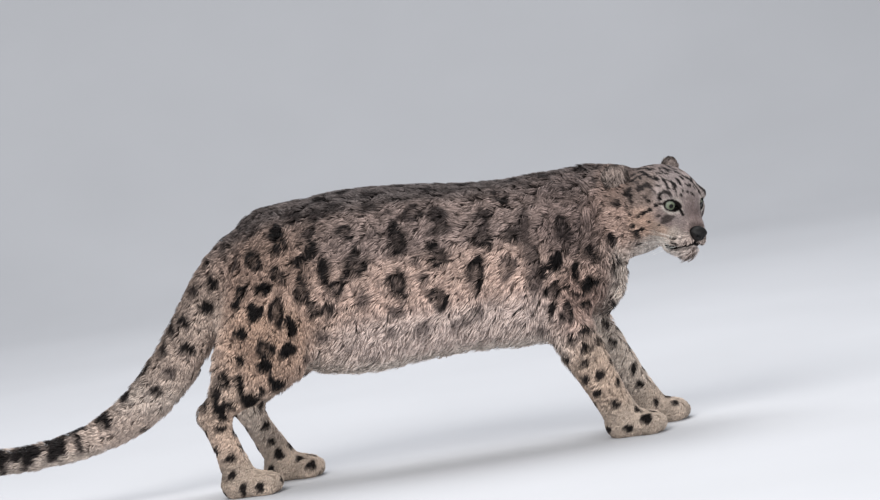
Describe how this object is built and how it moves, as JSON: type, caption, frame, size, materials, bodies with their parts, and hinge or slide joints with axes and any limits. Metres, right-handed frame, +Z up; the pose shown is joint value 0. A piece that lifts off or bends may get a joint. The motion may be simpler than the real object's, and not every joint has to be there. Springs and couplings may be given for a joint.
{
  "type": "snow leopard",
  "caption": "Life-size snow leopard as a still display model: walking, head turned to its right and lowered, long thick tail trailing low behind; it stands on its paws.",
  "frame": {"origin": "on the floor, under the middle of the model's bounding box", "axes": "+X the way the animal walks, +Y the animal's left, +Z up"},
  "size_m": [1.6453, 0.2958, 0.5689],
  "materials": {
    "coat": "long dense fur, smoke grey to tan, with dark rosettes",
    "pale_coat": "short dense pale fur with dark spots",
    "ear": "short fur, dark rim and pale hair inside",
    "eye": "glossy, pale grey-green iris with a round dark pupil",
    "nose": "bare dark skin, slightly moist"
  },
  "bodies": {
    "root": {"head": "coat", "neck": "coat", "torso": "coat", "rump": "coat", "tail_root": "coat", "tail_upper": "coat", "tail_tip": "coat", "thigh_right": "coat", "thigh_left": "coat", "hind_leg_right": "coat", "hind_leg_left": "coat", "hind_paw_right": "pale_coat", "hind_paw_left": "pale_coat", "upper_arm_right": "coat", "upper_arm_left": "coat", "foreleg_right": "coat", "foreleg_left": "coat", "fore_paw_right": "pale_coat", "fore_paw_left": "pale_coat", "ear_left": "ear", "ear_right": "ear", "eye_left": "eye", "eye_right": "eye", "nose_pad": "nose"}
  },
  "joints": []
}
